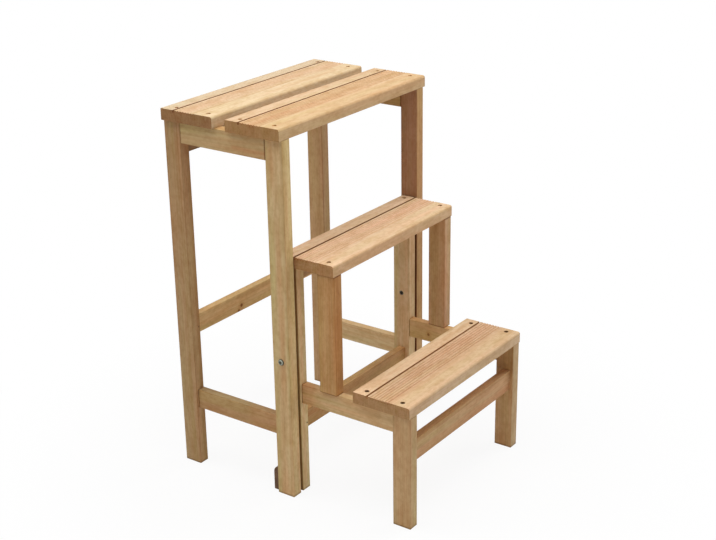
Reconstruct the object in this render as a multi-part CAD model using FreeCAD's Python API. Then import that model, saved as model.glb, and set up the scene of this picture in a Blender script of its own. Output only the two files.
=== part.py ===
import FreeCAD, Part
import math
import os

# A wooden stool with a two-step unit that swings on two bolts through the
# front legs. X runs across the steps, the steps point towards -Y, Z is up.
# The origin lies on the floor in the middle of the opened footprint.

# Stool frame
stool_height = 650.0
stool_depth = 245.0
frame_width = 402.0
leg_width = 20.0
leg_depth = 34.0
edge_ease = 1.2

# Boards of the seat and the treads
board_thickness = 20.0
seat_overhang = 6.0
seat_gap = 27.0
board_front_round = 4.0
board_edge_bevel = 1.0
groove_setback = 28.0
groove_width = 3.0
groove_depth = 3.0
reed_groove_gap = 4.0
reed_band_width = 40.0
reed_pitch = 5.6
reed_depth = 1.0
reed_crest = 2.6

# Rails of the stool
seat_rail_height = 36.0
rear_apron_height = 59.0
rail_thickness = 15.0
side_stretcher_bottom = 110.0
side_stretcher_height = 35.0
rear_stretcher_height = 34.0

# Step unit
side_play = 5.5
step_foot_lift = 1.0
middle_tread_top = 432.0
middle_tread_reach = 76.0
middle_tread_depth = 105.0
lower_tread_top = 222.0
lower_tread_reach = 220.0
lower_tread_depth = 110.0
tread_overhang = 2.5
step_rail_height = 35.0
upper_rail_height = 28.0
step_rear_stretcher_bottom = 109.0
step_rear_stretcher_height = 33.0
front_stretcher_bottom = 115.5
front_stretcher_height = 38.0
front_stretcher_setback = 6.0

# Tenons, pins and dowels
tenon_thickness = 8.0
tenon_shoulder = 5.0
glue_room = 1.0
wall_between_cuts = 1.0
pin_diameter = 3.0
pin_length = 20.0
pin_sink = 1.0
dowel_diameter = 6.0
dowel_length = 30.0
dowel_edge = 8.5

# Wood screws of the boards
screw_length = 34.0
screw_shank_diameter = 4.0
screw_head_diameter = 7.6
screw_head_height = 3.0
screw_sink = 2.5
screw_point = 5.0
recess_width = 1.1
recess_depth = 1.6
seat_screw_inset = 13.0
gap_screw_inset = 19.0
rail_screw_inset = 18.0
front_leg_screw_inset = 13.0

# Pivot bolts, spacer washers and sunk nuts
pivot_height = 250.5
bolt_diameter = 6.0
bolt_head_diameter = 11.0
bolt_head_height = 2.8
bolt_head_rim = 1.2
bolt_socket_size = 5.0
bolt_socket_depth = 1.8
bolt_running_clearance = 0.05
washer_diameter = 16.0
washer_running_gap = 0.3
nut_diameter = 8.4
nut_height = 6.0
nut_cup_depth = 7.0
nut_cup_clearance = 0.4
nut_socket_size = 5.0
nut_socket_depth = 2.0
fold_rest_gap = 1.0

# Foot stops behind the front legs
foot_stop_height = 46.0
foot_stop_depth = 13.0
foot_stop_length = 36.0
foot_stop_inset = 5.5
foot_stop_corner = 12.0
stop_gap = 0.3
stop_screw_length = 26.0
stop_screw_edge = 11.0
stop_screw_margin = 6.0

# Places that follow from the sizes above
front_y = (lower_tread_reach - stool_depth) / 2
rear_y = front_y + stool_depth
leg_out = frame_width / 2
leg_in = leg_out - leg_width
step_out = leg_in - side_play
step_in = step_out - leg_width
pivot_y = front_y + leg_depth / 2
seat_underside = stool_height - board_thickness
middle_underside = middle_tread_top - board_thickness
lower_underside = lower_tread_top - board_thickness
seat_board_length = frame_width + 2 * seat_overhang
seat_board_depth = (stool_depth - seat_gap) / 2
tread_half = step_out + tread_overhang
step_leg_depth = leg_depth - stop_gap
middle_front_y = front_y - middle_tread_reach
lower_front_y = front_y - lower_tread_reach
screw_reach = screw_length + screw_sink - board_thickness
leg_tenon = (leg_depth - tenon_thickness) / 2 - 2 * wall_between_cuts
cross_tenon = leg_width / 2 - screw_shank_diameter / 2 - wall_between_cuts
folded_tread_face = 2 * pivot_height - lower_tread_top


def box(x0, x1, y0, y1, z0, z1):
    corner = FreeCAD.Vector(x0, y0, z0)
    return Part.makeBox(x1 - x0, y1 - y0, z1 - z0, corner)


def runs_along(edge, axis):
    a = edge.Vertexes[0].Point
    b = edge.Vertexes[-1].Point
    span = [abs(b.x - a.x), abs(b.y - a.y), abs(b.z - a.z)]
    return span["xyz".index(axis)] > 0.5 * sum(span)


def eased_bar(axis, limits):
    """Planed bar with its long edges eased."""
    bar = box(*limits)
    edges = [e for e in bar.Edges if runs_along(e, axis)]
    return bar.makeFillet(edge_ease, edges)


def cylinder(radius, start, direction, length):
    return Part.makeCylinder(radius, length, start, direction)


def mirrored(shape):
    """The right-hand twin of a left-hand piece."""
    return shape.mirror(FreeCAD.Vector(0, 0, 0), FreeCAD.Vector(1, 0, 0))


def save(name, shapes):
    shape = shapes[0] if len(shapes) == 1 else Part.makeCompound(shapes)
    shape.exportStep("parts/" + name + ".step")


def save_pair(name, shape):
    save(name + "_left", [shape])
    save(name + "_right", [mirrored(shape)])


# Rails: limits are x0, x1, y0, y1, z0, z1 between the shoulders

def left_seat_rail_limits():
    return (-leg_out, -leg_in, front_y + leg_depth, rear_y - leg_depth,
            seat_underside - seat_rail_height, seat_underside)


def left_side_stretcher_limits():
    return (-leg_in - rail_thickness, -leg_in, front_y + leg_depth, rear_y - leg_depth,
            side_stretcher_bottom, side_stretcher_bottom + side_stretcher_height)


def left_step_rail_limits():
    return (-step_in - rail_thickness, -step_in, lower_front_y + leg_depth, front_y,
            lower_underside - step_rail_height, lower_underside)


def cross_limits(half_width, y_middle, bottom, height):
    return (-half_width, half_width, y_middle - rail_thickness / 2,
            y_middle + rail_thickness / 2, bottom, bottom + height)


def rear_apron_limits():
    bottom = seat_underside - rear_apron_height
    return cross_limits(leg_in, rear_y - leg_depth / 2, bottom, rear_apron_height)


def rear_stretcher_limits():
    """Its top edge carries the turned-over lower tread."""
    bottom = folded_tread_face - fold_rest_gap - rear_stretcher_height
    return cross_limits(leg_in, rear_y - leg_depth / 2, bottom, rear_stretcher_height)


def step_upper_rail_limits():
    bottom = middle_underside - upper_rail_height
    return cross_limits(step_in, pivot_y, bottom, upper_rail_height)


def step_rear_stretcher_limits():
    return cross_limits(step_in, pivot_y, step_rear_stretcher_bottom,
                        step_rear_stretcher_height)


def step_front_stretcher_limits():
    y_middle = lower_front_y + front_stretcher_setback + rail_thickness / 2
    return cross_limits(step_in, y_middle, front_stretcher_bottom, front_stretcher_height)


def long_tenons(limits, z0, z1, extra):
    """Tenons at both ends of a rail along Y; extra makes them mortises."""
    x_middle = (limits[0] + limits[1]) / 2
    x0 = x_middle - tenon_thickness / 2
    x1 = x_middle + tenon_thickness / 2
    reach = leg_tenon + extra
    front = box(x0, x1, limits[2] - reach, limits[2], z0, z1)
    rear = box(x0, x1, limits[3], limits[3] + reach, z0, z1)
    return [front, rear]


def cross_tenons(limits, extra):
    """Tenons at both ends of a rail along X; extra makes them mortises."""
    y_middle = (limits[2] + limits[3]) / 2
    y0 = y_middle - tenon_thickness / 2
    y1 = y_middle + tenon_thickness / 2
    z0 = limits[4] + tenon_shoulder
    z1 = limits[5] - tenon_shoulder
    reach = cross_tenon + extra
    left = box(limits[0] - reach, limits[0], y0, y1, z0, z1)
    right = box(limits[1], limits[1] + reach, y0, y1, z0, z1)
    return [left, right]


def screwed_tenon_heights(limits):
    """A tenon kept below the board screws that enter the leg above it."""
    top = limits[5] - screw_reach - 2 * wall_between_cuts
    return limits[4] + tenon_shoulder, top


def plain_tenon_heights(limits):
    return limits[4] + tenon_shoulder, limits[5] - tenon_shoulder


def long_rail(limits, heights):
    bar = eased_bar("y", limits)
    return bar.fuse(long_tenons(limits, heights[0], heights[1], 0.0))


def cross_rail(limits):
    bar = eased_bar("x", limits)
    return bar.fuse(cross_tenons(limits, 0.0))


def long_mortises(limits, heights):
    return long_tenons(limits, heights[0], heights[1], glue_room)


# Screws, pins and dowels

def turned(points, start, direction):
    """Solid of revolution; points are (radius, depth) from start along direction."""
    profile = [FreeCAD.Vector(r, 0, d) for r, d in points]
    face = Part.Face(Part.makePolygon(profile + [profile[0]]))
    solid = face.revolve(FreeCAD.Vector(0, 0, 0), FreeCAD.Vector(0, 0, 1), 360)
    turn = FreeCAD.Rotation(FreeCAD.Vector(0, 0, 1), direction)
    solid.Placement = FreeCAD.Placement(start, turn)
    return solid


def wood_screw(head, direction, length):
    """Countersunk screw; head is the middle of its flat top."""
    shank = screw_shank_diameter / 2
    points = [(0, 0), (screw_head_diameter / 2, 0), (shank, screw_head_height),
              (shank, length - screw_point), (0, length)]
    screw = turned(points, head, direction)
    half = screw_shank_diameter * 0.55
    slot = Part.makeBox(2 * half, recess_width, recess_depth,
                        FreeCAD.Vector(-half, -recess_width / 2, 0))
    other = Part.makeBox(recess_width, 2 * half, recess_depth,
                         FreeCAD.Vector(-recess_width / 2, -half, 0))
    recess = slot.fuse(other)
    turn = FreeCAD.Rotation(FreeCAD.Vector(0, 0, 1), direction)
    recess.Placement = FreeCAD.Placement(head, turn)
    return screw.cut(recess)


def screw_hole(head, direction, length, sink):
    """Hole with the countersink, and a straight way down to the sunk head."""
    shank = screw_shank_diameter / 2
    points = [(0, -sink), (screw_head_diameter / 2, -sink),
              (screw_head_diameter / 2, 0), (shank, screw_head_height),
              (shank, length + glue_room), (0, length + glue_room)]
    return turned(points, head, direction)


down = FreeCAD.Vector(0, 0, -1)
forward = FreeCAD.Vector(0, -1, 0)
backward = FreeCAD.Vector(0, 1, 0)
inward = FreeCAD.Vector(1, 0, 0)


def board_screw_heads(places, top):
    """Head middles of a board's screws on both sides; places are (x, y) on the left."""
    heads = []
    for x, y in places:
        heads.append(FreeCAD.Vector(x, y, top - screw_sink))
        heads.append(FreeCAD.Vector(-x, y, top - screw_sink))
    return heads


def front_seat_screw_heads():
    x = -(leg_out + leg_in) / 2
    leg_place = front_y + leg_depth - seat_screw_inset
    rail_place = front_y + seat_board_depth - gap_screw_inset
    return board_screw_heads([(x, leg_place), (x, rail_place)], stool_height)


def rear_seat_screw_heads():
    x = -(leg_out + leg_in) / 2
    leg_place = rear_y - leg_depth + seat_screw_inset
    rail_place = rear_y - seat_board_depth + gap_screw_inset
    return board_screw_heads([(x, leg_place), (x, rail_place)], stool_height)


def middle_screw_heads():
    x = -(step_out + step_in) / 2
    post_place = middle_front_y + leg_depth / 2
    return board_screw_heads([(x, post_place), (x, pivot_y)], middle_tread_top)


def lower_screw_heads():
    x_leg = -(step_out + step_in) / 2
    x_rail = -step_in - rail_thickness / 2
    leg_place = lower_front_y + leg_depth - front_leg_screw_inset
    rail_place = lower_front_y + lower_tread_depth - rail_screw_inset
    return board_screw_heads([(x_leg, leg_place), (x_rail, rail_place)], lower_tread_top)


def board_holes(heads):
    return [screw_hole(head, down, screw_length, screw_sink) for head in heads]


def stop_screw_heads():
    x = -(leg_out + leg_in) / 2
    y = front_y + leg_depth + foot_stop_depth
    low = stop_screw_edge
    high = foot_stop_height - foot_stop_corner - stop_screw_margin
    return [FreeCAD.Vector(x, y, low), FreeCAD.Vector(x, y, high)]


def stop_holes():
    return [screw_hole(head, forward, stop_screw_length, 0.0) for head in stop_screw_heads()]


def pin_place(limits, face_y):
    """Pin through the leg's front face into the middle of a cross rail's left tenon."""
    x = limits[0] - cross_tenon / 2
    z = (limits[4] + limits[5]) / 2
    return FreeCAD.Vector(x, face_y, z)


def tenon_pin(place):
    start = place + backward * pin_sink
    return cylinder(pin_diameter / 2, start, backward, pin_length)


def pin_hole(place):
    return cylinder(pin_diameter / 2, place, backward, pin_sink + pin_length)


def rear_leg_pin_place():
    return pin_place(rear_stretcher_limits(), rear_y - leg_depth)


def step_leg_pin_place():
    return pin_place(step_rear_stretcher_limits(), front_y)


def left_post_dowels():
    x = -step_in - rail_thickness / 2
    near = middle_front_y + dowel_edge
    far = middle_front_y + leg_depth - dowel_edge
    start = lower_underside - dowel_length / 2
    up = FreeCAD.Vector(0, 0, 1)
    return [cylinder(dowel_diameter / 2, FreeCAD.Vector(x, y, start), up, dowel_length)
            for y in (near, far)]


# Boards

def top_profile(depth):
    """Top line of a board from its front edge to its back, as (distance, height)."""
    points = []
    band_end = depth - groove_setback - groove_width / 2 - reed_groove_gap
    reeds = int(reed_band_width / reed_pitch)
    flank = (reed_pitch - reed_crest) / 2
    for i in range(reeds):
        start = band_end - (reeds - i) * reed_pitch
        points.append((start + reed_crest, 0.0))
        points.append((start + reed_crest + flank, -reed_depth))
    points.append((band_end, 0.0))
    groove_start = depth - groove_setback - groove_width / 2
    groove_end = groove_start + groove_width
    points.append((groove_start, 0.0))
    points.append((groove_start, -groove_depth))
    points.append((groove_end, -groove_depth))
    points.append((groove_end, 0.0))
    return points


def board(length, front, depth, top, heads):
    """Board with a rounded front edge, reeding, one groove and its screw holes."""
    half = length / 2
    bottom = top - board_thickness
    back = front + depth
    r = board_front_round
    b = board_edge_bevel

    def at(y, z):
        return FreeCAD.Vector(-half, y, z)

    arc_middle = at(front + r * (1 - math.sqrt(0.5)), top - r * (1 - math.sqrt(0.5)))
    rounding = Part.Arc(at(front, top - r), arc_middle, at(front + r, top)).toShape()
    line = [at(front + r, top)]
    line += [at(front + s, top + z) for s, z in top_profile(depth)]
    line += [at(back - b, top), at(back, top - b), at(back, bottom + b), at(back - b, bottom),
             at(front + b, bottom), at(front, bottom + b), at(front, top - r)]
    wire = Part.Wire([rounding] + Part.makePolygon(line).Edges)
    solid = Part.Face(wire).extrude(FreeCAD.Vector(length, 0, 0))
    return solid.cut(board_holes(heads))


def seat_board_front():
    return board(seat_board_length, front_y, seat_board_depth, stool_height,
                 front_seat_screw_heads())


def seat_board_rear():
    return board(seat_board_length, rear_y - seat_board_depth, seat_board_depth,
                 stool_height, rear_seat_screw_heads())


def middle_tread():
    return board(2 * tread_half, middle_front_y, middle_tread_depth, middle_tread_top,
                 middle_screw_heads())


def lower_tread():
    return board(2 * tread_half, lower_front_y, lower_tread_depth, lower_tread_top,
                 lower_screw_heads())


# Stool frame

def stool_leg_front():
    leg = eased_bar("z", (-leg_out, -leg_in, front_y, front_y + leg_depth,
                          0.0, seat_underside))
    rail = left_seat_rail_limits()
    stretcher = left_side_stretcher_limits()
    cuts = long_mortises(rail, screwed_tenon_heights(rail))
    cuts += long_mortises(stretcher, plain_tenon_heights(stretcher))
    cuts += board_holes(front_seat_screw_heads())
    cuts += stop_holes()
    cuts.append(cylinder(bolt_diameter / 2, FreeCAD.Vector(-leg_out, pivot_y, pivot_height),
                         inward, leg_width))
    return leg.cut(cuts)


def stool_leg_rear():
    leg = eased_bar("z", (-leg_out, -leg_in, rear_y - leg_depth, rear_y,
                          0.0, seat_underside))
    rail = left_seat_rail_limits()
    stretcher = left_side_stretcher_limits()
    cuts = long_mortises(rail, screwed_tenon_heights(rail))
    cuts += long_mortises(stretcher, plain_tenon_heights(stretcher))
    cuts += cross_tenons(rear_apron_limits(), glue_room)
    cuts += cross_tenons(rear_stretcher_limits(), glue_room)
    cuts += board_holes(rear_seat_screw_heads())
    cuts.append(pin_hole(rear_leg_pin_place()))
    return leg.cut(cuts)


def seat_rail():
    limits = left_seat_rail_limits()
    rail = long_rail(limits, screwed_tenon_heights(limits))
    return rail.cut(board_holes(front_seat_screw_heads() + rear_seat_screw_heads()))


def side_stretcher():
    limits = left_side_stretcher_limits()
    return long_rail(limits, plain_tenon_heights(limits))


def rear_stretcher():
    hole = pin_hole(rear_leg_pin_place())
    return cross_rail(rear_stretcher_limits()).cut([hole, mirrored(hole)])


def foot_stop():
    """Block behind the foot of a front leg; the step leg's foot closes against it."""
    x0 = -leg_out + foot_stop_inset
    y0 = front_y + leg_depth
    block = box(x0, x0 + foot_stop_length, y0, y0 + foot_stop_depth, 0.0, foot_stop_height)
    corner = [e for e in block.Edges if runs_along(e, "x")
              and e.CenterOfMass.y > y0 + foot_stop_depth / 2
              and e.CenterOfMass.z > foot_stop_height / 2]
    return block.makeFillet(foot_stop_corner, corner).cut(stop_holes())


# Pivot hardware on the left side

def hex_socket(size, start, direction, depth):
    """Six-sided recess of the given width across flats."""
    radius = size / math.sqrt(3.0)
    points = []
    for i in range(7):
        angle = math.radians(60 * i)
        points.append(FreeCAD.Vector(radius * math.cos(angle), radius * math.sin(angle), 0))
    solid = Part.Face(Part.makePolygon(points)).extrude(FreeCAD.Vector(0, 0, depth))
    turn = FreeCAD.Rotation(FreeCAD.Vector(0, 0, 1), direction)
    solid.Placement = FreeCAD.Placement(start, turn)
    return solid


def pivot_bolt():
    """Bolt with a low domed head; depth 0 is the stool leg's outer face."""
    r = bolt_head_diameter / 2
    shank = bolt_diameter / 2
    end = leg_width + side_play + leg_width - nut_cup_depth + nut_height / 2
    start = FreeCAD.Vector(-leg_out, pivot_y, pivot_height)
    shoulder = r * 0.72
    points = [(0, -bolt_head_height), (shoulder, -bolt_head_height), (r, -bolt_head_rim),
              (r, 0), (shank, 0), (shank, end), (0, end)]
    bolt = turned(points, start, inward)
    socket_start = start - inward * bolt_head_height
    return bolt.cut(hex_socket(bolt_socket_size, socket_start, inward, bolt_socket_depth))


def pivot_washer():
    """Spacer on the bolt between the stool leg and the step leg."""
    start = FreeCAD.Vector(-leg_in, pivot_y, pivot_height)
    thickness = side_play - washer_running_gap
    disc = cylinder(washer_diameter / 2, start, inward, thickness)
    return disc.cut(cylinder(bolt_diameter / 2, start, inward, thickness))


def pivot_nut():
    """Round nut in the cup of the step leg's inner face."""
    floor_x = -step_in - nut_cup_depth + washer_running_gap
    start = FreeCAD.Vector(floor_x, pivot_y, pivot_height)
    nut = cylinder(nut_diameter / 2, start, inward, nut_height)
    thread_end = nut_height / 2 - washer_running_gap
    nut = nut.cut(cylinder(bolt_diameter / 2, start, inward, thread_end))
    socket_start = start + inward * (nut_height - nut_socket_depth)
    return nut.cut(hex_socket(nut_socket_size, socket_start, inward, nut_socket_depth))


def pivot_cuts():
    """Running bore and nut cup in the left step leg."""
    radius = bolt_diameter / 2 + bolt_running_clearance
    bore = cylinder(radius, FreeCAD.Vector(-step_out, pivot_y, pivot_height), inward, leg_width)
    cup_start = FreeCAD.Vector(-step_in - nut_cup_depth, pivot_y, pivot_height)
    cup = cylinder(nut_diameter / 2 + nut_cup_clearance, cup_start, inward, nut_cup_depth)
    return [bore, cup]


# Step unit

def step_rear_leg():
    leg = eased_bar("z", (-step_out, -step_in, front_y, front_y + step_leg_depth,
                          step_foot_lift, middle_underside))
    rail = left_step_rail_limits()
    cuts = long_mortises(rail, screwed_tenon_heights(rail))
    cuts += cross_tenons(step_upper_rail_limits(), glue_room)
    cuts += cross_tenons(step_rear_stretcher_limits(), glue_room)
    cuts += board_holes(middle_screw_heads())
    cuts += pivot_cuts()
    cuts.append(pin_hole(step_leg_pin_place()))
    return leg.cut(cuts)


def step_post():
    """Post that stands on the side rail and carries the middle tread's front edge."""
    post = eased_bar("z", (-step_out, -step_in, middle_front_y, middle_front_y + leg_depth,
                           lower_underside, middle_underside))
    return post.cut(left_post_dowels() + board_holes(middle_screw_heads()))


def step_side_rail():
    limits = left_step_rail_limits()
    rail = long_rail(limits, screwed_tenon_heights(limits))
    return rail.cut(left_post_dowels() + board_holes(lower_screw_heads()))


def step_front_leg():
    leg = eased_bar("z", (-step_out, -step_in, lower_front_y, lower_front_y + leg_depth,
                          0.0, lower_underside))
    rail = left_step_rail_limits()
    cuts = long_mortises(rail, screwed_tenon_heights(rail))
    cuts += cross_tenons(step_front_stretcher_limits(), glue_room)
    cuts += board_holes(lower_screw_heads())
    return leg.cut(cuts)


def step_rear_stretcher():
    hole = pin_hole(step_leg_pin_place())
    return cross_rail(step_rear_stretcher_limits()).cut([hole, mirrored(hole)])


def board_screws(heads):
    return [wood_screw(head, down, screw_length) for head in heads]


def both_sides(shapes):
    return shapes + [mirrored(shape) for shape in shapes]


os.makedirs("parts", exist_ok=True)

save("seat_board_front", [seat_board_front()])
save("seat_board_rear", [seat_board_rear()])
save_pair("stool_leg_front", stool_leg_front())
save_pair("stool_leg_rear", stool_leg_rear())
save_pair("seat_rail", seat_rail())
save("seat_rail_rear", [cross_rail(rear_apron_limits())])
save_pair("side_stretcher", side_stretcher())
save("rear_stretcher", [rear_stretcher()])
save_pair("foot_stop", foot_stop())
save("seat_screws", board_screws(front_seat_screw_heads() + rear_seat_screw_heads()))
save("foot_stop_screws", both_sides([wood_screw(head, forward, stop_screw_length)
                                     for head in stop_screw_heads()]))
save("stool_tenon_pins", both_sides([tenon_pin(rear_leg_pin_place())]))
save_pair("pivot_bolt", pivot_bolt())
save_pair("pivot_washer", pivot_washer())
save_pair("pivot_nut", pivot_nut())

save("middle_tread", [middle_tread()])
save("lower_tread", [lower_tread()])
save_pair("step_rear_leg", step_rear_leg())
save_pair("step_post", step_post())
save_pair("step_side_rail", step_side_rail())
save_pair("step_front_leg", step_front_leg())
save("step_upper_rail", [cross_rail(step_upper_rail_limits())])
save("step_rear_stretcher", [step_rear_stretcher()])
save("step_front_stretcher", [cross_rail(step_front_stretcher_limits())])
save("tread_screws", board_screws(middle_screw_heads() + lower_screw_heads()))
save("post_dowels", both_sides(left_post_dowels()))
save("step_tenon_pins", both_sides([tenon_pin(step_leg_pin_place())]))
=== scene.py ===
import math

import bmesh
import bpy
from mathutils import Matrix, Vector


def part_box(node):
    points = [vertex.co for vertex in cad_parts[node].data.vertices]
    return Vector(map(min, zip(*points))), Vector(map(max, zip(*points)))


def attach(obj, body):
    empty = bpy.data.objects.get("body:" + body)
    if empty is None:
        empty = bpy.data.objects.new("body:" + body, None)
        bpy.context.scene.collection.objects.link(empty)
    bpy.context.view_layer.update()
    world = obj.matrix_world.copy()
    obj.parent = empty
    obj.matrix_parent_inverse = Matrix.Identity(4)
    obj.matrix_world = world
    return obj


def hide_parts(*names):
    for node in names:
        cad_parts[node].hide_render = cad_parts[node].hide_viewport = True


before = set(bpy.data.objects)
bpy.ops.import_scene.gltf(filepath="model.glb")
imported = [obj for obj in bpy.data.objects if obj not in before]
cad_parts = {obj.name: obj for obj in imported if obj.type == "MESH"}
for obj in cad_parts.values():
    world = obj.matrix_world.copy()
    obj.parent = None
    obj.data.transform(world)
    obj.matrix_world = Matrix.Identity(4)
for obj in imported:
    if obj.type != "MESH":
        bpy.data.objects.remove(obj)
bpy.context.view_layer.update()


# ---------------------------------------------------------------------------
# Front legs of the stool. Two flat sticks of planed pine, rounded over along
# their four long edges and sawn square at the feet. The pivot bolt goes
# through each of them, halfway across its depth.
# ---------------------------------------------------------------------------

X, Y, Z = 0, 1, 2
round_over = 0.0012
sawn_edge = 0.0007
bolt_bore = 0.003
drill_lead = 0.001
through_leg = 0.021
satin_shine = 0.22
slot_shadow = (0.52, 0.38, 0.26)


def break_edges(bm, edges, offset, segments):
    bmesh.ops.bevel(bm, geom=edges, offset=offset, offset_type="OFFSET", affect="EDGES",
                    segments=segments, profile=0.5, material=-1, clamp_overlap=True)


def block(low, high):
    """A sawn block between two corners."""
    bm = bmesh.new()
    bmesh.ops.create_cube(bm, size=1.0)
    bmesh.ops.scale(bm, vec=high - low, verts=bm.verts)
    bmesh.ops.translate(bm, vec=(low + high) / 2, verts=bm.verts)
    return bm


def runs_along(edge, axis):
    a, b = (vert.co for vert in edge.verts)
    return abs((a - b)[axis]) > 0.9 * edge.calc_length()


def at_end(edge, axis, place):
    return all(abs(vert.co[axis] - place) < 1e-6 for vert in edge.verts)


def planed_stick(low, high, grain):
    """A block planed round along the grain, with only its saw edges broken at the ends."""
    bm = block(low, high)
    break_edges(bm, [e for e in bm.edges if runs_along(e, grain)], round_over, 3)
    for place in (low[grain], high[grain]):
        break_edges(bm, [e for e in bm.edges if at_end(e, grain, place)], sawn_edge, 2)
    return bm


def turned(bm, outline, foot, direction, segments=24):
    """Turns an outline of (radius, distance) pairs about an axis from foot along direction."""
    verts = [bm.verts.new((radius, 0.0, distance)) for radius, distance in outline]
    edges = [bm.edges.new(pair) for pair in zip(verts, verts[1:])]
    made = bmesh.ops.spin(bm, geom=verts + edges, cent=(0, 0, 0), axis=(0, 0, 1),
                          angle=2 * math.pi, steps=segments, use_merge=True)
    mine = set(verts) | {v for item in made["geom_last"] for v in getattr(item, "verts", [item])}
    reached = list(mine)
    while reached:
        for edge in reached.pop().link_edges:
            for vert in edge.verts:
                if vert not in mine:
                    mine.add(vert)
                    reached.append(vert)
    turn = Vector((0, 0, 1)).rotation_difference(Vector(direction)).to_matrix().to_4x4()
    bmesh.ops.transform(bm, matrix=Matrix.Translation(foot) @ turn, verts=list(mine))


def straight_drill(radius, depth):
    """Outline of a plain drill, which starts a little outside the wood."""
    return [(0, -drill_lead), (radius, -drill_lead), (radius, depth), (0, depth)]


def tidy(bm):
    bmesh.ops.remove_doubles(bm, verts=bm.verts, dist=1e-7)
    bmesh.ops.recalc_face_normals(bm, faces=bm.faces)


def piece_from(bm, name):
    mesh = bpy.data.meshes.new(name)
    bm.to_mesh(mesh)
    bm.free()
    piece = bpy.data.objects.new(name, mesh)
    bpy.context.scene.collection.objects.link(piece)
    return piece


def bore(piece, drills):
    """Cuts every hole of a piece at once; drills is one bmesh of closed plugs."""
    tidy(drills)
    plug = piece_from(drills, piece.name + "_drills")
    cut = piece.modifiers.new("holes", "BOOLEAN")
    cut.operation = "DIFFERENCE"
    cut.solver = "EXACT"
    cut.object = plug
    shaped = piece.evaluated_get(bpy.context.evaluated_depsgraph_get())
    mesh = bpy.data.meshes.new_from_object(shaped)
    piece.modifiers.clear()
    piece.data = mesh
    bpy.data.objects.remove(plug)


def settle(piece, node, body):
    """Even shading, then the piece takes its CAD node's place on the body."""
    piece.data.shade_smooth()
    piece.data.set_sharp_from_angle(angle=math.radians(32))
    even = piece.modifiers.new("even shading", "WEIGHTED_NORMAL")
    even.keep_sharp = True
    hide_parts(node)
    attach(piece, body)


class Shade:
    """A socket of a finish; sums and products of it add Math nodes."""

    def __init__(self, tree, socket=None):
        self.tree = tree
        self.socket = socket

    def node(self, kind, settings, values, output=0):
        """Adds any node: its settings first, then the values or links of its sockets."""
        made = self.tree.nodes.new("ShaderNode" + kind)
        for name, value in settings.items():
            if name == "stops":
                stops = made.color_ramp.elements
                while len(stops) < len(value):
                    stops.new(1.0)
                for stop, (place, level) in zip(stops, value):
                    stop.position = place
                    stop.color = (level, level, level, 1.0)
            else:
                setattr(made, name, value)
        for key, value in values.items():
            if isinstance(value, Shade):
                self.tree.links.new(value.socket, made.inputs[key])
            else:
                made.inputs[key].default_value = value
        return Shade(self.tree, made.outputs[output])

    def maths(self, operation, *terms):
        return self.node("Math", {"operation": operation}, dict(enumerate(terms)))

    def __add__(self, other):
        return self.maths("ADD", self, other)

    def __sub__(self, other):
        return self.maths("SUBTRACT", self, other)

    def __rsub__(self, other):
        return self.maths("SUBTRACT", other, self)

    def __mul__(self, other):
        return self.maths("MULTIPLY", self, other)

    def __truediv__(self, other):
        return self.maths("DIVIDE", self, other)

    def __pow__(self, other):
        return self.maths("POWER", self, other)

    def __abs__(self):
        return self.maths("ABSOLUTE", self)

    __radd__ = __add__
    __rmul__ = __mul__

    def rise(self, start, end):
        """Goes smoothly from 0 at start to 1 at end."""
        return self.node("MapRange", {"interpolation_type": "SMOOTHSTEP"},
                         {"Value": self, "From Min": start, "From Max": end})

    def ramp(self, *stops):
        return self.node("ValToRGB", {"stops": stops}, {"Fac": self})

    def noise(self, scale, detail):
        """Even noise on this vector."""
        return self.node("TexNoise", {}, {"Vector": self, "Scale": scale, "Detail": detail})

    def blend(self, first, second):
        """The first colour where this is 0 and the second where it is 1."""
        return self.node("Mix", {"data_type": "RGBA"},
                         {0: self, 6: (*first, 1.0), 7: (*second, 1.0)}, 2)

    def stain(self, mask, colour):
        """This colour with another worked into it where mask is 1."""
        return self.node("Mix", {"data_type": "RGBA", "blend_type": "MULTIPLY"},
                         {0: mask, 6: self, 7: (*colour, 1.0)}, 2)


def new_finish(name):
    """A new material and its shader."""
    material = bpy.data.materials.new(name)
    material.use_nodes = True
    return material, material.node_tree.nodes["Principled BSDF"]


def feed(skin, shades):
    """Links what was worked out to the sockets of a shader."""
    for socket, shade in shades.items():
        shade.tree.links.new(shade.socket, skin.inputs[socket])


def coat(material, *pieces):
    for piece in pieces:
        piece.data.materials.clear()
        piece.data.materials.append(material)


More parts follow.
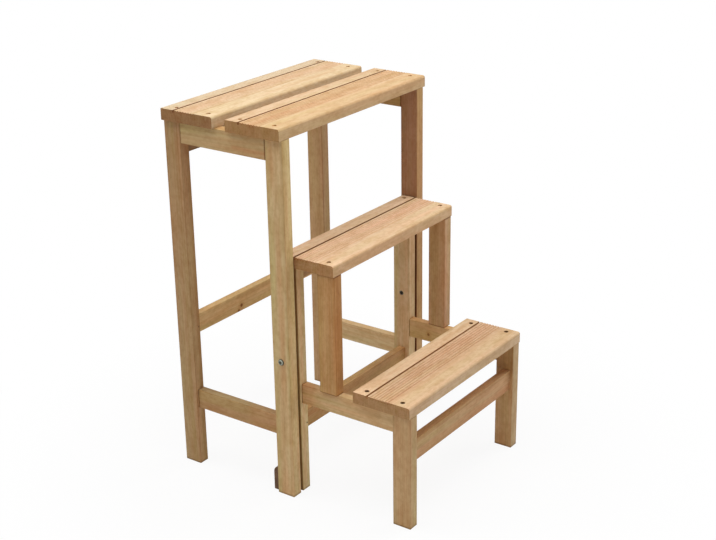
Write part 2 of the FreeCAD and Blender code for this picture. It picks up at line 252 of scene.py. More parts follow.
class Pine:
    """Sawn pine all the way through: growth rings about a pith line that runs beside the
    piece, bands of sapwood and heartwood, fibres along the grain, darker end grain."""

    def __init__(self, name, low, high, grain, tone, pith, seed, figure=0.9, ring=0.0034):
        self.material, self.skin = new_finish(name)
        self.skin.inputs["Specular IOR Level"].default_value = satin_shine
        start = Shade(self.material.node_tree)
        seen = start.node("TexCoord", {}, {}, "Object")
        placed = seen.node("Mapping", {}, {"Vector": seen, "Location": -(low + high) / 2})
        parts = [placed.node("SeparateXYZ", {}, {0: placed}, i) for i in range(3)]
        one, other = (i for i in range(3) if i != grain)
        self.along, self.across, self.through = parts[grain], parts[one], parts[other]
        self.seed = seed * 3.7
        self.facing = start.node("TexCoord", {}, {}, "Normal")
        facing = self.facing.node("SeparateXYZ", {}, {0: self.facing}, grain)
        self.end_grain = abs(facing).rise(0.5, 0.9)

        sway = self.cloud(2.4, 7.0, 2.0)
        lean = self.cloud(3.1, 5.0, 1.0, 40.0)
        a = self.across - pith[0] + (sway - 0.5) * 0.018 + self.along * 0.015
        b = self.through - pith[1] + (lean - 0.5) * 0.014 - self.along * 0.010
        rings = (a * a + b * b) ** 0.5 / ring + self.cloud(1.3, 45.0, 2.0, 15.0) * 1.6
        late = rings.maths("FRACT", rings).ramp(
            (0.0, 0.30), (0.12, 0.05), (0.55, 0.14), (0.86, 0.80), (0.95, 1.0), (1.0, 0.30))
        fibres = self.cloud(9.0, 620.0, 3.0, 5.0)
        flecks = self.cloud(60.0, 900.0, 1.0, 33.0).rise(0.63, 0.76)
        bands = self.cloud(1.6, 62.0, 1.5, 9.0)
        warmth = self.cloud(3.2, 46.0, 2.0, 60.0)
        streaks = self.cloud(3.0, 210.0, 2.0, 71.0)
        blotches = self.cloud(24.0, 60.0, 2.0, 21.0)
        mottle = self.cloud(110.0, 190.0, 3.0, 90.0)

        early = tuple(min(1.0, value * lift) for value, lift in zip(tone, (1.08, 1.10, 1.13)))
        dark = tuple(value * lift for value, lift in zip(early, (0.86, 0.76, 0.63)))
        self.colour = (late * (0.55 * figure)).blend(early, dark)
        for mask, shade in (
                (bands.rise(0.42, 0.68) * figure, (0.93, 0.88, 0.82)),
                ((1.0 - bands).rise(0.48, 0.72) * figure, (1.05, 1.06, 1.08)),
                (warmth.rise(0.46, 0.70) * figure, (1.03, 0.90, 0.86)),
                ((1.0 - warmth).rise(0.46, 0.70) * figure, (0.95, 1.01, 0.87)),
                (streaks.rise(0.46, 0.68) * figure, (0.94, 0.91, 0.87)),
                (blotches.rise(0.44, 0.62) * 0.9, (0.92, 0.87, 0.80)),
                (mottle.rise(0.44, 0.62) * 0.9, (0.92, 0.88, 0.83)),
                (fibres.rise(0.35, 0.75) * 0.6, (0.90, 0.85, 0.79)),
                (flecks * 0.35, (0.72, 0.58, 0.44))):
            self.tint(mask, shade)
        self.grain_height = late * 0.5 + fibres * 0.7
        self.gloss = 0.54 + fibres * 0.12 - late * 0.06

        half = (high - low) / 2
        inward = (half[one] - abs(self.across)).maths(
            "MAXIMUM", half[one] - abs(self.across), half[other] - abs(self.through))
        arris = 1.0 - inward.rise(0.0004, 0.0030)
        handled = self.cloud(14.0, 30.0, 2.0, 77.0).rise(0.35, 0.65)
        self.tint(arris * (0.25 + handled * 0.45), (0.84, 0.77, 0.68))

    def cloud(self, along, sideways, detail, shift=0.0):
        """Noise stretched along the grain: how often it changes per metre each way."""
        vector = self.along.node("CombineXYZ", {}, {
            0: self.along * along + (self.seed + shift),
            1: self.across * sideways + (self.seed * 0.6 + shift),
            2: self.through * sideways - (self.seed + shift)})
        return vector.node("TexNoise", {}, {"Vector": vector, "Scale": 1.0, "Detail": detail,
                                            "Roughness": 0.55})

    def tint(self, mask, colour):
        """Works another colour into the wood where mask is 1."""
        self.colour = self.colour.stain(mask, colour)

    def side(self, axis, sign):
        """1 on the faces that look this way along an axis."""
        return (self.facing.node("SeparateXYZ", {}, {0: self.facing}, axis) * sign).rise(0.5, 0.9)

    def between(self, way, start, end, soft=0.003):
        """1 between two places along, across or through the piece, with a wandering edge."""
        drift = (self.cloud(6.0, 20.0, 1.0, 52.0) - 0.5) * soft * 2.0
        place = getattr(self, way) + drift
        return place.rise(start - soft, start + soft) - place.rise(end - soft, end + soft)

    def joint(self, *places):
        """A glue line: a hair of dark at each place where a rail meets its leg."""
        for place in places:
            near = 1.0 - abs(self.along - place).rise(0.0006, 0.0026)
            self.tint(near * 0.85, (0.42, 0.30, 0.20))

    def foot(self, low):
        """The wood darkens towards the bottom of the foot."""
        near = 1.0 - abs(self.along - low).rise(0.0012, 0.0050)
        self.tint(near * 0.8, (0.52, 0.47, 0.36))

    def knot(self, along, sideways, direction, size, depth=0.8):
        """A small round knot, seen on the faces across direction."""
        gap = ((self.along - along) ** 2.0 + (getattr(self, direction) - sideways) ** 2.0) ** 0.5
        core = 1.0 - gap.rise(size * 0.55, size)
        halo = 1.0 - gap.rise(size, size * 2.6)
        self.tint(halo * 0.5, (0.86, 0.70, 0.52))
        self.tint(core * depth, (0.36, 0.22, 0.12))

    def finish(self, piece, end_shade=(0.70, 0.58, 0.45)):
        """Darkens the end grain, with its saw marks, and lays the satin surface on."""
        end = self.end_grain
        saw = end.node("CombineXYZ", {}, {
            0: self.across * 900.0, 1: self.through * 45.0, 2: self.seed}).noise(1.0, 2.0)
        colour = self.colour.stain(end, end_shade)
        colour = colour.stain(end * saw.rise(0.40, 0.70), (0.84, 0.80, 0.74))
        rough = self.gloss + end * 0.2
        bump = colour.node("Bump", {}, {"Strength": 0.22, "Distance": 0.0004,
                                        "Height": self.grain_height + end * saw})
        feed(self.skin, {"Base Color": colour, "Roughness": rough, "Normal": bump})
        coat(self.material, piece)


pivot_y, pivot_z = 0.0045, 0.2505

for side, tone, pith, seed in (("left", (0.673, 0.497, 0.262), (0.050, 0.012), 1),
                               ("right", (0.421, 0.228, 0.127), (-0.028, 0.034), 2)):
    node = "stool_leg_front_" + side
    low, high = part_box(node)
    leg = piece_from(planed_stick(low, high, Z), "front_leg_" + side)
    drills = bmesh.new()
    turned(drills, straight_drill(bolt_bore, through_leg), (low.x, pivot_y, pivot_z), (1, 0, 0))
    bore(leg, drills)
    settle(leg, node, "stool_frame")
    wood = Pine("front leg pine " + side, low, high, Z, tone, pith, seed)
    if side == "left":
        # painted light: the left leg's front face made a little lighter
        wood.tint(wood.side(Y, -1), (1.08, 1.09, 1.06))
        wood.tint(wood.between("through", 0.009, 0.024, 0.005) * 0.7, (0.96, 1.02, 0.94))
        wood.tint(wood.between("through", -0.005, 0.006, 0.006) * 0.6, (0.96, 0.90, 0.88))
    else:
        # painted light: the right leg's front face made much lighter
        wood.tint(wood.side(Y, -1), (1.30, 1.42, 1.15))
    inward = 1 if side == "left" else -1
    wood.tint(wood.side(X, inward) * wood.between("along", -0.325, 0.08), slot_shadow)
    wood.foot((low.z - high.z) / 2)
    wood.finish(leg)


# ---------------------------------------------------------------------------
# Rear legs of the stool, cut from the same planed stock. A pin through the
# front face of each holds the tenon of the rear stretcher.
# ---------------------------------------------------------------------------

pin_bore = 0.0015
pin_depth = 0.0011


def pin_drill(place):
    drills = bmesh.new()
    turned(drills, straight_drill(pin_bore, pin_depth), place, (0, 1, 0), 16)
    return drills


for side, tone, pith, seed in (("left", (0.472, 0.300, 0.147), (-0.036, 0.020), 3),
                               ("right", (0.564, 0.355, 0.186), (0.018, 0.045), 4)):
    node = "stool_leg_rear_" + side
    low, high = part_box(node)
    leg = piece_from(planed_stick(low, high, Z), "rear_leg_" + side)
    sign = -1 if side == "left" else 1
    pins_low, pins_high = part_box("stool_tenon_pins")
    pin_x = pins_high.x - pin_bore
    bore(leg, pin_drill((sign * pin_x, low.y, (pins_low.z + pins_high.z) / 2)))
    settle(leg, node, "stool_frame")
    wood = Pine("rear leg pine " + side, low, high, Z, tone, pith, seed)
    if side == "left":
        wood.tint(wood.between("through", 0.006, 0.020) * 0.8, (0.98, 1.04, 1.06))
        # painted shade: the inner half of the left leg's front face darkened, under the seat
        wood.tint(wood.side(Y, -1) * wood.between("across", 0.002, 0.012), (0.90, 0.82, 0.72))
    else:
        # painted shade: the right leg's front face darkened
        wood.tint(wood.side(Y, -1), (0.80, 0.78, 0.74))
    wood.foot((low.z - high.z) / 2)
    wood.finish(leg)


# ---------------------------------------------------------------------------
# Rails of the stool: two side aprons and a deeper rear apron under the seat,
# two low side stretchers and the higher rear stretcher. All are planed pine,
# tenoned and glued into the legs.
# ---------------------------------------------------------------------------

shoulder = 0.0885


def rail_pine(node, grain, tone, pith, seed):
    low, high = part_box(node)
    return Pine(node.replace("_", " ") + " pine", low, high, grain, tone, pith, seed)


for node, grain, tone, pith, seed in (
        ("seat_rail_left", Y, (0.576, 0.404, 0.201), (0.040, 0.026), 5),
        ("seat_rail_right", Y, (0.529, 0.354, 0.165), (-0.040, 0.012), 6),
        ("seat_rail_rear", X, (0.50, 0.34, 0.180), (0.030, -0.044), 7),
        ("side_stretcher_left", Y, (0.517, 0.321, 0.154), (-0.045, -0.010), 8),
        ("side_stretcher_right", Y, (0.757, 0.600, 0.337), (0.038, -0.018), 9)):
    wood = rail_pine(node, grain, tone, pith, seed)
    if grain == Y:
        wood.joint(-shoulder, shoulder)
    if node == "seat_rail_left":
        wood.tint(wood.between("through", 0.002, 0.012) * 0.8, (1.06, 1.09, 1.09))
        wood.tint(wood.between("through", -0.009, -0.003) * wood.between("along", -0.090, -0.020),
                  (1.00, 0.86, 0.80))
    if node == "side_stretcher_left":
        # painted shade: the top face made darker and less warm
        wood.tint(wood.side(Z, 1), (0.80, 0.88, 1.02))
        wood.tint(wood.between("along", -0.090, -0.030, 0.012) * 0.8, (1.02, 0.90, 0.86))
    if node == "seat_rail_rear":
        # painted shade on the apron's left end, under the seat beside the rear left leg
        wood.tint(wood.between("along", -0.190, -0.120, 0.012), (0.66, 0.60, 0.54))
    wood.finish(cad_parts[node])

wood = rail_pine("rear_stretcher", X, (0.700, 0.485, 0.233), (-0.040, 0.022), 10)
for along, through, size, depth in ((-0.0584, -0.0065, 0.0042, 1.0),
                                    (-0.0665, -0.0140, 0.0034, 0.9)):
    wood.knot(along, through, "through", size, depth)
wood.finish(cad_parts["rear_stretcher"])


# ---------------------------------------------------------------------------
# Seat: two pine boards screwed down on the legs and aprons with a gap between
# them. Each has a rounded nosing, a reeded band underfoot and one groove that
# runs the whole length.
# ---------------------------------------------------------------------------

nosing = 0.004
board_edge = 0.001
board_end = 0.0005
groove_setback = 0.028
groove_width = 0.003
groove_depth = 0.003
reed_count = 7
reed_pitch = 0.0056
reed_crest = 0.0026
reed_depth = 0.001
reed_groove_gap = 0.004
screw_head = 0.0038
screw_sink = 0.0025
screw_shank = 0.0021
head_taper = 0.003
through_board = 0.030
seat_screw_x = 0.191
reed_wall = 0.00006
above_grooves = (0.0055, 0.0065)
rear_strip_end = 0.056


def milled_board(low, high):
    """A board with its nosing, reeds and groove milled along X."""
    bm = block(low, high)
    front = [e for e in bm.edges if runs_along(e, X) and at_end(e, Y, low.y)
             and at_end(e, Z, high.z)]
    break_edges(bm, front, nosing, 6)
    others = [e for e in bm.edges if runs_along(e, X)
              and len({round(f.normal.z, 2) for f in e.link_faces} & {1.0, -1.0, 0.0}) == 2]
    break_edges(bm, others, board_edge, 2)
    for place in (low.x, high.x):
        break_edges(bm, [e for e in bm.edges if at_end(e, X, place)], board_end, 2)
    flute = reed_pitch - reed_crest
    band_end = high.y - groove_setback - groove_width / 2 - reed_groove_gap
    band_start = band_end - reed_count * reed_pitch
    cuts = {}
    for i in range(reed_count):
        start = band_start + i * reed_pitch + reed_crest
        for share, depth in ((0.0, 0.0), (0.22, 0.72), (0.5, 1.0), (0.78, 0.72), (1.0, 0.0)):
            cuts[round(start + share * flute, 6)] = depth * reed_depth
    groove = high.y - groove_setback - groove_width / 2
    for place, depth in ((groove, 0.0), (groove + reed_wall, groove_depth),
                         (groove + groove_width - reed_wall, groove_depth),
                         (groove + groove_width, 0.0)):
        cuts[round(place, 6)] = depth
    for place in sorted(cuts):
        bmesh.ops.bisect_plane(bm, geom=bm.verts[:] + bm.edges[:] + bm.faces[:], dist=1e-7,
                               plane_co=(0, place, 0), plane_no=(0, 1, 0))
    for vert in bm.verts:
        depth = cuts.get(round(vert.co.y, 6), 0.0)
        if depth and vert.co.z > high.z - board_end * 1.05:
            vert.co.z -= depth
    return bm


def screw_drills(places, top):
    drills = bmesh.new()
    for x, y in places:
        turned(drills, [(0, -drill_lead), (screw_head, -drill_lead), (screw_head, screw_sink),
                        (screw_shank, screw_sink + head_taper), (screw_shank, through_board),
                        (0, through_board)], (x, y, top), (0, 0, -1), 28)
    return drills


def make_board(name, node, body, screws, tone, pith, seed, figure,
               top, flute_dirt_and_shade, groove_painted_shade, hole_burn_and_shade=0.0):
    """Mills and drills a board, with painted light on its top face and flat front strip and
    painted shade in its groove, reeds and holes.
    """
    low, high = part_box(node)
    board = piece_from(milled_board(low, high), name)
    bore(board, screw_drills(screws, high.z))
    settle(board, node, body)
    wood = Pine(name.replace("_", " ") + " pine", low, high, X, tone, pith, seed, figure, 0.0042)
    middle = (low + high) / 2
    groove = high.y - groove_setback - middle.y
    in_groove = 1.0 - abs(wood.across - groove).rise(groove_width * 0.45, groove_width * 0.95)
    topside = wood.through.rise(*above_grooves)
    # painted light and shade: the top face is scaled by top, as light falls on it
    wood.tint(wood.side(Z, 1), top)
    # painted shade in the groove
    wood.tint(in_groove * topside, groove_painted_shade)
    band_end = groove - groove_width / 2 - reed_groove_gap
    # a pinkish tone and painted shade over the reeded band
    reed_band = wood.between("across", band_end - reed_count * reed_pitch, band_end, 0.002)
    wood.tint(reed_band * topside * 0.8, (1.00, 0.94, 0.92))
    # painted light on the flat strip in front of the reeds
    wood.tint(wood.between("across", low.y - high.y, band_end - reed_count * reed_pitch - 0.003)
              * topside * 0.7, (1.04, 1.05, 1.00))
    phase = (band_end - wood.across) / reed_pitch
    flute = abs(phase.maths("FRACT", phase) - (reed_pitch - reed_crest) / reed_pitch / 2)
    in_flute = (1.0 - flute.rise(0.06, 0.30)) * phase.rise(-0.02, 0.02) \
        * (1.0 - phase.rise(reed_count - 0.05, reed_count))
    # painted shade in the flutes, with some dirt in them too
    wood.tint(in_flute * topside, flute_dirt_and_shade)
    for x, y in screws:
        gap = ((wood.along - (x - middle.x)) ** 2.0 + (wood.across - (y - middle.y)) ** 2.0) ** 0.5
        hole = 1.0 - gap.rise(screw_head * 1.02, screw_head * 1.12)
        # painted shade on the wall of each screw hole, with some drill burn
        wood.tint(hole * hole_burn_and_shade, (0.34, 0.24, 0.16))
    return board, wood


def both_ends(x, *places):
    return [(sign * x, y) for y in places for sign in (-1, 1)]


def tint_rear_strip(wood, start, shade):
    """The strip behind the groove has a tone of its own."""
    wood.tint(wood.between("across", start, rear_strip_end, 0.001) * wood.side(Z, 1), shade)


board, wood = make_board(
    "rear_seat_board", "seat_board_rear", "stool_frame", both_ends(seat_screw_x, 0.1425, 0.2115),
    tone=(0.589, 0.432, 0.267), pith=(0.020, -0.060), seed=11, figure=0.45,
    top=(1.06, 1.09, 1.13), flute_dirt_and_shade=(0.88, 0.83, 0.78), groove_painted_shade=(0.46, 0.31, 0.19))
tint_rear_strip(wood, 0.028, (0.92, 0.96, 0.99))
wood.finish(board, (0.60, 0.44, 0.31))

board, wood = make_board(
    "front_seat_board", "seat_board_front", "stool_frame", both_ends(seat_screw_x, 0.0085, 0.0775),
    tone=(0.625, 0.418, 0.224), pith=(-0.012, -0.048), seed=12, figure=0.45,
    top=(0.92, 0.95, 1.00), flute_dirt_and_shade=(0.86, 0.81, 0.75), groove_painted_shade=(0.44, 0.30, 0.18))
tint_rear_strip(wood, 0.028, (1.04, 1.07, 1.16))
wood.finish(board)


# ---------------------------------------------------------------------------
# Screws, and the pins of the tenons. Countersunk zinc-plated wood screws with
# a cross recess hold the boards and the foot blocks. The pins are plain steel.
# ---------------------------------------------------------------------------


class Metal:
    """Plated or plain steel: cloudy plating and fine scuffs, with painted shade where it is put.
    """

    def __init__(self, name, colour, roughness, cloudiness):
        self.material, self.skin = new_finish(name)
        start = Shade(self.material.node_tree)
        self.seen = start.node("TexCoord", {}, {}, "Object")
        cloud = self.seen.noise(420.0, 3.0)
        scuff = self.seen.noise(1900.0, 2.0)
        dulled = tuple(value * part for value, part in zip(colour, (0.80, 0.84, 0.90)))
        plating = (cloud.rise(0.35, 0.7) * cloudiness).blend(colour, dulled)
        self.plating = plating.stain(scuff.rise(0.55, 0.8) * 0.35, (0.66, 0.62, 0.56))
        self.rough = roughness + cloud * 0.12 + scuff * 0.08
        self.bump = scuff.node("Bump", {}, {"Strength": 0.15, "Distance": 0.0001,
                                            "Height": scuff})

    def place(self, axis):
        return self.seen.node("SeparateXYZ", {}, {0: self.seen}, axis)

    # painted shade: darkens and roughens the metal where the mask is 1
    def paint_shade(self, mask, colour, roughening):
        self.plating = self.plating.stain(mask, colour)
        self.rough = self.rough + mask * roughening

    def finish(self, *pieces, metallic=1.0):
        self.skin.inputs["Metallic"].default_value = metallic
        feed(self.skin, {"Base Color": self.plating, "Roughness": self.rough,
                         "Normal": self.bump})
        coat(self.material, *pieces)


# painted light: the screws are coloured light and brownish so that they stay faint in the shade of
# their holes
seat_zinc = Metal("seat screw zinc", (0.92, 0.70, 0.48), 0.50, 0.4)
seat_zinc.finish(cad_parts["seat_screws"], metallic=0.3)

tread_zinc = Metal("tread screw zinc", (0.56, 0.48, 0.34), 0.48, 0.6)
# painted shade: the lower tread's screws darkened, deep in their holes
lower_step = 1.0 - tread_zinc.place(Z).rise(0.25, 0.35)
tread_zinc.paint_shade(lower_step, (0.18, 0.15, 0.13), 0.2)
tread_zinc.finish(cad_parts["tread_screws"])

block_screw_zinc = Metal("block screw zinc", (0.45, 0.42, 0.38), 0.42, 0.6)
block_screw_zinc.finish(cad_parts["foot_stop_screws"])

pin_steel = Metal("plain steel pin", (0.16, 0.12, 0.09), 0.50, 0.4)
pin_steel.finish(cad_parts["stool_tenon_pins"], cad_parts["step_tenon_pins"])


# ---------------------------------------------------------------------------
# Foot blocks: dark brown blocks screwed behind the front legs' feet, which
# the step unit's rear legs close against. Their upper back corner is round.
# ---------------------------------------------------------------------------

block_corner = 0.012
block_edge = 0.0008

block_brown, skin = new_finish("dark brown block")
skin.inputs["Specular IOR Level"].default_value = 0.25
seen = Shade(block_brown.node_tree).node("TexCoord", {}, {}, "Object")
haze = seen.noise(90.0, 3.0)
pores = seen.noise(1500.0, 2.0)
colour = haze.rise(0.35, 0.7).blend((0.170, 0.088, 0.042), (0.110, 0.055, 0.028))
feed(skin, {
    "Base Color": colour.stain(pores.rise(0.5, 0.75) * 0.4, (0.72, 0.70, 0.68)),
    "Roughness": 0.42 + haze * 0.15 + pores * 0.1,
    "Normal": pores.node("Bump", {}, {"Strength": 0.25, "Distance": 0.0002, "Height": pores})})

for side in ("left", "right"):
    node = "foot_stop_" + side
    low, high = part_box(node)
    bm = block(low, high)
    corner = [e for e in bm.edges if at_end(e, Y, high.y) and at_end(e, Z, high.z)]
    break_edges(bm, corner, block_corner, 8)
    sharp = [e for e in bm.edges if e.calc_face_angle() > math.radians(60)]
    break_edges(bm, sharp, block_edge, 2)
    stop = piece_from(bm, "foot_block_" + side)
    settle(stop, node, "stool_frame")
    coat(block_brown, stop)


# ---------------------------------------------------------------------------
# Step unit: its rear legs stand directly inside the stool's front legs and
# turn on the pivot bolts. Each has a round cup for the nut on its inner face
# and a pin that holds the tenon of the low cross stretcher.
# ---------------------------------------------------------------------------

nut_cup = 0.0046
nut_cup_depth = 0.007

for side, tone, pith, seed in (("left", (0.759, 0.599, 0.337), (0.034, -0.020), 13),
                               ("right", (0.737, 0.554, 0.318), (-0.022, 0.036), 14)):
    node = "step_rear_leg_" + side
    low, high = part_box(node)
    leg = piece_from(planed_stick(low, high, Z), "step_rear_leg_piece_" + side)
    sign = -1 if side == "left" else 1
    inner_x = high.x if side == "left" else low.x
    pins_low, pins_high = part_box("step_tenon_pins")
    drills = pin_drill((sign * (pins_high.x - pin_bore), low.y, (pins_low.z + pins_high.z) / 2))
    turned(drills, [(0, -drill_lead), (nut_cup, -drill_lead), (nut_cup, nut_cup_depth),
                    (bolt_bore, nut_cup_depth), (bolt_bore, through_leg), (0, through_leg)],
           (inner_x, pivot_y, pivot_z), (sign, 0, 0), 32)
    bore(leg, drills)
    settle(leg, node, "step_unit")
    wood = Pine("step rear leg pine " + side, low, high, Z, tone, pith, seed)
    wood.tint(wood.side(X, sign), slot_shadow)
    wood.foot((low.z - high.z) / 2)
    wood.finish(leg)


# ---------------------------------------------------------------------------
# Short front legs of the step unit, sawn from the same planed stock as the
# other legs. They carry the lower tread's front edge and hold the tenons of
# the side rails and of the front stretcher.
# ---------------------------------------------------------------------------

for side, tone, pith, seed in (("left", (0.572, 0.403, 0.209), (0.020, 0.052), 15),
                               ("right", (0.619, 0.402, 0.202), (-0.030, -0.026), 16)):
    node = "step_front_leg_" + side
    low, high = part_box(node)
    leg = piece_from(planed_stick(low, high, Z), "step_front_leg_piece_" + side)
    settle(leg, node, "step_unit")
    wood = Pine("step front leg pine " + side, low, high, Z, tone, pith, seed)
    if side == "left":
        wood.tint(wood.between("through", 0.008, 0.020) * 0.8, (0.94, 0.90, 0.87))
    else:
        # painted shade: the front face made darker and cooler
        wood.tint(wood.side(Y, -1), (0.88, 0.94, 1.02))
        # painted shade on the inner face, high up under the lower tread
        shaded_under_tread = wood.between("along", 0.045, 0.120, 0.012)
        wood.tint(wood.side(X, -1) * shaded_under_tread, (0.80, 0.74, 0.66))
    wood.foot((low.z - high.z) / 2)
    wood.finish(leg)


# ---------------------------------------------------------------------------
# Rails of the step unit: a side rail from rear leg to front leg on each side,
# a cross rail under the middle tread, a low cross stretcher between the rear
# legs and another between the front legs.
# ---------------------------------------------------------------------------

step_shoulder = 0.093

for node, grain, tone, pith, seed in (
        ("step_side_rail_left", Y, (0.647, 0.446, 0.226), (0.034, 0.030), 17),
        ("step_upper_rail", X, (0.54, 0.37, 0.200), (0.020, -0.040), 19),
        ("step_rear_stretcher", X, (0.536, 0.326, 0.145), (-0.024, 0.038), 20)):
    wood = rail_pine(node, grain, tone, pith, seed)
    if node == "step_side_rail_left":
        wood.joint(-step_shoulder, step_shoulder)
        wood.tint(wood.between("along", 0.066, 0.100, 0.010) * 0.8, (1.00, 0.82, 0.76))
        # painted light: the top face made paler and cooler
        wood.tint(wood.side(Z, 1), (0.96, 1.05, 1.12))
    if node == "step_rear_stretcher":
        # painted light: the top face made lighter
        wood.tint(wood.side(Z, 1), (1.20, 1.25, 1.30))
        # painted shade: the front face made darker
        wood.tint(wood.side(Y, -1), (0.94, 0.92, 0.85))
    wood.finish(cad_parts[node])

wood = rail_pine("step_side_rail_right", Y, (0.684, 0.443, 0.211), (-0.030, 0.022), 18)
wood.joint(-step_shoulder, step_shoulder)
wood.knot(0.0507, -0.0035, "through", 0.0034)
wood.finish(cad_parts["step_side_rail_right"])

wood = rail_pine("step_front_stretcher", X, (0.552, 0.355, 0.179), (0.028, 0.046), 21)
wood.tint(wood.between("through", -0.030, -0.002) * 0.9, (1.02, 0.89, 0.86))
# painted shade: the top face made darker
wood.tint(wood.side(Z, 1), (0.92, 0.86, 0.90))
# painted shade along the upper edge
wood.tint(wood.between("through", 0.012, 0.018, 0.002) * 0.9, (0.94, 0.82, 0.70))
wood.finish(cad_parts["step_front_stretcher"])


# ---------------------------------------------------------------------------
# Posts: short sticks of the same stock that carry the middle tread's front
# edge. They stand on the side rails on two dowels each.
# ---------------------------------------------------------------------------

for side, tone, pith, seed in (("left", (0.563, 0.330, 0.137), (0.012, 0.060), 22),
                               ("right", (0.595, 0.370, 0.188), (-0.026, 0.030), 23)):
    node = "step_post_" + side
    low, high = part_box(node)
    post = piece_from(planed_stick(low, high, Z), "step_post_piece_" + side)
    settle(post, node, "step_unit")
    wood = Pine("post pine " + side, low, high, Z, tone, pith, seed)
    if side == "left":
        # painted shade: the left post's front face made darker
        wood.tint(wood.side(Y, -1), (0.88, 0.86, 0.80))
        wood.tint(wood.between("through", -0.018, -0.013) * 0.6, (1.0, 0.82, 0.66))
    else:
        # painted light: the right post's front face made paler
        wood.tint(wood.side(Y, -1), (1.00, 1.05, 1.18))
    wood.joint((low.z - high.z) / 2, (high.z - low.z) / 2)
    wood.finish(post)

wood = rail_pine("post_dowels", Z, (0.60, 0.42, 0.26), (0.020, 0.020), 24)
wood.finish(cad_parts["post_dowels"])


# ---------------------------------------------------------------------------
# Treads: milled like the seat boards and screwed down on the legs, posts and
# side rails.
# ---------------------------------------------------------------------------

tread_screw_x = 0.1655
front_leg_screw_x = 0.163

board, wood = make_board(
    "middle_step_board", "middle_tread", "step_unit", both_ends(tread_screw_x, -0.0715, 0.0045),
    tone=(0.694, 0.471, 0.272), pith=(0.006, -0.052), seed=25, figure=0.50,
    top=(1.10, 1.19, 1.38), flute_dirt_and_shade=(0.84, 0.78, 0.72), groove_painted_shade=(0.36, 0.23, 0.13),
    hole_burn_and_shade=0.25)
wood.finish(board)

board, wood = make_board(
    "lower_step_board", "lower_tread", "step_unit",
    both_ends(tread_screw_x, -0.2115) + both_ends(front_leg_screw_x, -0.1405),
    tone=(0.652, 0.451, 0.270), pith=(-0.020, -0.056), seed=26, figure=0.40,
    top=(1.00, 1.01, 1.06), flute_dirt_and_shade=(0.76, 0.68, 0.60), groove_painted_shade=(0.62, 0.46, 0.32),
    hole_burn_and_shade=0.90)
tint_rear_strip(wood, 0.029, (1.14, 1.19, 1.19))
wood.finish(board)


# ---------------------------------------------------------------------------
# Pivots: zinc-plated bolts with a low domed head outside, a nylon spacer
# between the two legs, and a round nut sunk in the step leg's inner face.
# ---------------------------------------------------------------------------

socket_half = 0.0027
rim_start, rim_end = 0.0042, 0.0052


def off_pivot(metal):
    """How far a place on the metal lies from the pivot's axis."""
    return ((metal.place(Y) - pivot_y) ** 2.0 + (metal.place(Z) - pivot_z) ** 2.0) ** 0.5


bolt_zinc = Metal("bolt zinc", (0.34, 0.35, 0.29), 0.48, 0.8)
reach = off_pivot(bolt_zinc)
# painted shade in the head's socket
bolt_zinc.paint_shade(1.0 - reach.rise(socket_half, socket_half * 1.2), (0.60, 0.58, 0.52), 0.2)
# painted shade round the rim of the domed head
bolt_zinc.paint_shade(reach.rise(rim_start, rim_end), (0.40, 0.38, 0.32), 0.2)
bolt_zinc.finish(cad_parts["pivot_bolt_left"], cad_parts["pivot_bolt_right"])

# painted shade: the nut is coloured dark, as it sits in the shade of its cup
nut_zinc = Metal("nut zinc", (0.22, 0.19, 0.15), 0.50, 0.7)
reach = off_pivot(nut_zinc)
# painted shade in the nut's socket
nut_zinc.paint_shade(1.0 - reach.rise(socket_half, socket_half * 1.2), (0.35, 0.32, 0.28), 0.3)
nut_zinc.finish(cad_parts["pivot_nut_left"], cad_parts["pivot_nut_right"])

spacer_nylon, skin = new_finish("milky nylon")
haze = Shade(spacer_nylon.node_tree).node("TexCoord", {}, {}, "Object").noise(300.0, 2.0)
feed(skin, {"Base Color": haze.rise(0.4, 0.7).blend((0.74, 0.71, 0.64), (0.68, 0.65, 0.57)),
            "Roughness": 0.38 + haze * 0.12})
coat(spacer_nylon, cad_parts["pivot_washer_left"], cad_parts["pivot_washer_right"])


# ---------------------------------------------------------------------------
# Studio: a white floor that keeps a soft shadow near the stool and runs out
# to plain white, and four softboxes: a large one overhead, one on the right,
# one behind and a weak fill on the left.
# ---------------------------------------------------------------------------

floor_size = 60.0
near_glow, added_glow = 0.91, 0.09
fade_start, fade_end = 0.30, 0.75
room_light = 0.15

bpy.ops.mesh.primitive_plane_add(size=floor_size, location=(0, 0, 0))
floor = bpy.context.object
floor.name = "studio_floor"


def seen_directly(start):
    """1 where the camera sees a surface itself or as a reflection."""
    camera_ray = start.node("LightPath", {}, {}, "Is Camera Ray")
    glossy_ray = start.node("LightPath", {}, {}, "Is Glossy Ray")
    return camera_ray.maths("MAXIMUM", camera_ray, glossy_ray)


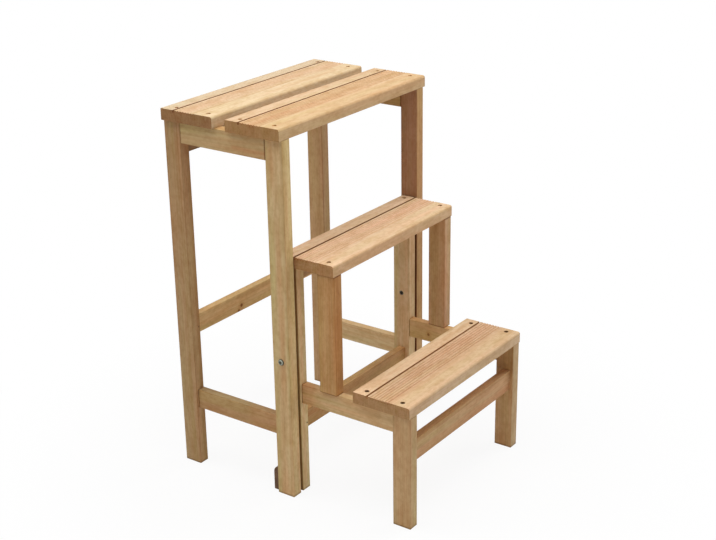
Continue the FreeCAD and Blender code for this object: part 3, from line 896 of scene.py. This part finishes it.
paper = bpy.data.materials.new("white paper floor")
paper.use_nodes = True
tree = paper.node_tree
tree.nodes.clear()
start = Shade(tree)
seen = start.node("TexCoord", {}, {}, "Object")
away = seen.node("VectorMath", {"operation": "LENGTH"}, {0: seen}, "Value")
glow = (near_glow + away.rise(fade_start, fade_end) * added_glow) * seen_directly(start)
matt = start.node("BsdfDiffuse", {}, {"Color": (0.85, 0.85, 0.85, 1.0)})
white = start.node("Emission", {}, {"Color": (1.0, 1.0, 1.0, 1.0), "Strength": 1.0})
mixed = start.node("MixShader", {}, {0: glow, 1: matt, 2: white})
sheet = tree.nodes.new("ShaderNodeOutputMaterial")
tree.links.new(mixed.socket, sheet.inputs["Surface"])
floor.data.materials.append(paper)

room = bpy.data.worlds.new("white studio")
bpy.context.scene.world = room
room.use_nodes = True
background = room.node_tree.nodes["Background"]
background.inputs["Color"].default_value = (1.0, 1.0, 1.0, 1.0)
seen_white = seen_directly(Shade(room.node_tree))
feed(background, {"Strength": room_light + seen_white * (1.0 - room_light)})

aim = Vector((0, 0, 0.3))
for name, place, size, power in (("overhead softbox", (-0.3, -0.3, 2.6), 2.0, 44.0),
                                 ("right softbox", (2.2, -1.2, 1.6), 1.5, 30.0),
                                 ("rear softbox", (-0.8, 1.2, 2.4), 1.5, 21.0),
                                 ("left fill", (-2.4, 0.3, 1.4), 1.5, 4.0)):
    lamp = bpy.data.lights.new(name, "AREA")
    lamp.shape = "SQUARE"
    lamp.size = size
    lamp.energy = power
    softbox = bpy.data.objects.new(name, lamp)
    bpy.context.scene.collection.objects.link(softbox)
    softbox.location = place
    softbox.rotation_euler = (Vector(place) - aim).to_track_quat("Z", "Y").to_euler()

bpy.context.scene.view_settings.view_transform = "Standard"


# ---------------------------------------------------------------------------
# Camera: about two metres off the stool's front left corner and half a metre
# above the seat, looking down at it. The picture leans by just under a degree.
# ---------------------------------------------------------------------------

image_width = 716
focal_pixels = 1379.93
sensor_width = 36.0
camera_place = (-1.79753, -1.29826, 1.22583)
azimuth, elevation, roll = (math.radians(angle) for angle in (-54.362, 21.595, -0.896))

lens = bpy.data.cameras.new("camera")
lens.sensor_width = sensor_width
lens.lens = focal_pixels * sensor_width / image_width
camera = bpy.data.objects.new("camera", lens)
bpy.context.scene.collection.objects.link(camera)
camera.matrix_world = (Matrix.Translation(camera_place)
                       @ Matrix.Rotation(azimuth, 4, "Z")
                       @ Matrix.Rotation(math.pi / 2 - elevation, 4, "X")
                       @ Matrix.Rotation(roll, 4, "Z"))
bpy.context.scene.camera = camera
